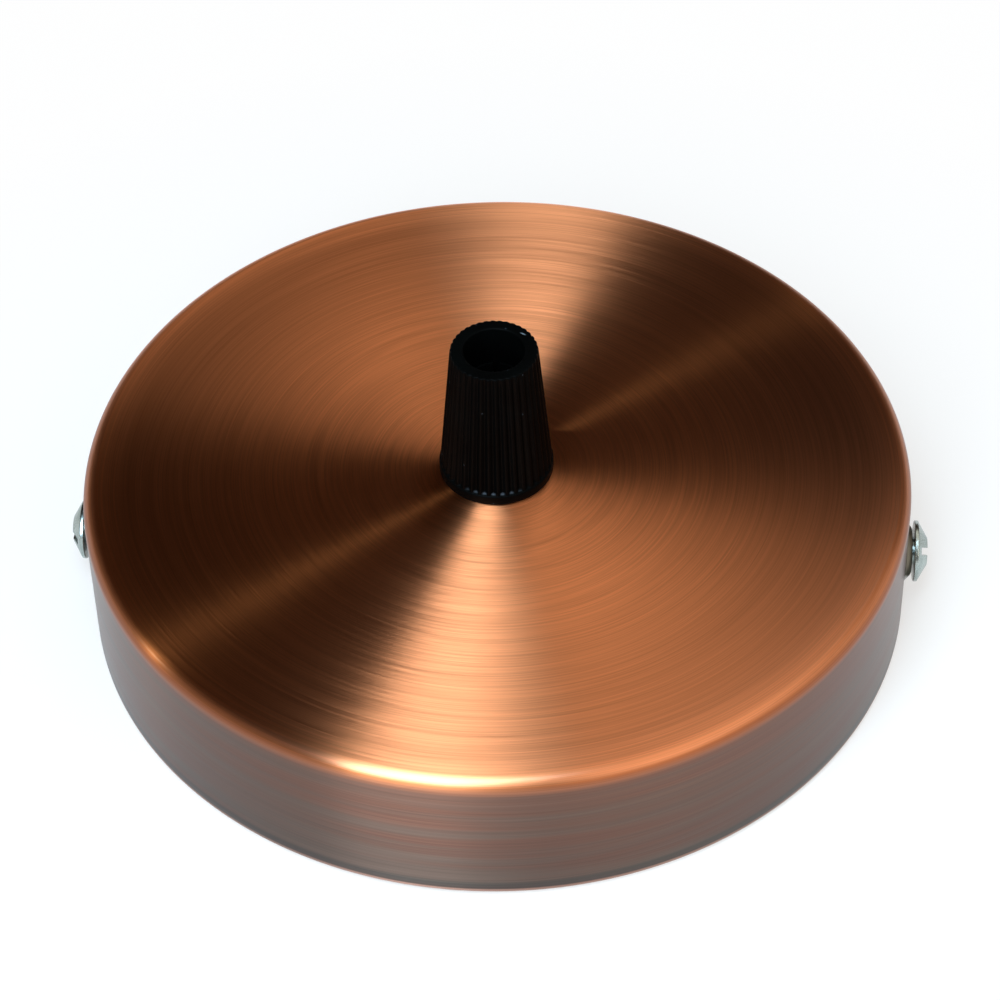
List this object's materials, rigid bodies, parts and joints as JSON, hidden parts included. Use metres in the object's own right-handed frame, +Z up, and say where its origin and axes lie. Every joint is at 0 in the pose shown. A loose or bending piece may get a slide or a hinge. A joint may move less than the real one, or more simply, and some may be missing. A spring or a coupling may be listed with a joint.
{
  "type": "light fixture ceiling canopy",
  "caption": "Shallow round drawn metal cup with a fluted tapered plastic cord grip on its floor, side screws through its wall and a folded ceiling crossbar inside.",
  "frame": {"origin": "centre of the plane of the cup's mouth, on which it stands and which meets the ceiling in use", "axes": "+Z up through the cord grip, away from the ceiling in use; +X along the side screws, towards the right screw"},
  "size_m": [0.1264, 0.12, 0.0464],
  "materials": {
    "brushed_copper_plate": "copper plated steel, brushed in fine circles and toned darker",
    "black_nylon": "black moulded nylon, half matt",
    "zinc_plate": "bright blue-white zinc plated steel",
    "bright_brass": "bright turned and stamped brass"
  },
  "bodies": {
    "canopy": {"canopy_cup": "brushed_copper_plate", "cord_grip_nipple": "black_nylon", "lock_washer": "zinc_plate", "hex_nut": "zinc_plate", "mounting_crossbar": "zinc_plate", "earth_clamp_plate": "bright_brass"},
    "clamp_ring": {"cord_clamp_ring": "black_nylon"},
    "grip_cap": {"cord_grip_cap": "black_nylon"},
    "screw_left": {"side_screw_left": "zinc_plate"},
    "screw_right": {"side_screw_right": "zinc_plate"},
    "screw_earth": {"earth_screw": "bright_brass"}
  },
  "joints": [
    {"name": "clamp_ring_lift", "type": "slide", "parent": "canopy", "child": "clamp_ring", "axis": [0, 0, 1], "range_m": [0, 0.008]},
    {"name": "grip_cap_turn", "type": "hinge", "parent": "clamp_ring", "child": "grip_cap", "pos_m": [0, 0, 0.0236], "axis": [0, 0, 1], "range_deg": [0, 2880]},
    {"name": "side_screw_left_turn", "type": "hinge", "parent": "canopy", "child": "screw_left", "pos_m": [-0.0612, 0, 0.008], "axis": [-1, 0, 0], "range_deg": [0, 2880]},
    {"name": "side_screw_right_turn", "type": "hinge", "parent": "canopy", "child": "screw_right", "pos_m": [0.0612, 0, 0.008], "axis": [1, 0, 0], "range_deg": [0, 2880]},
    {"name": "earth_screw_turn", "type": "hinge", "parent": "canopy", "child": "screw_earth", "pos_m": [-0.04599, 0, 0.0047], "axis": [0, 0, 1], "range_deg": [0, 1440]}
  ],
  "couplings": [
    {"joint": "grip_cap_turn", "follows": "clamp_ring_lift", "rad_per_m": 6283}
  ]
}
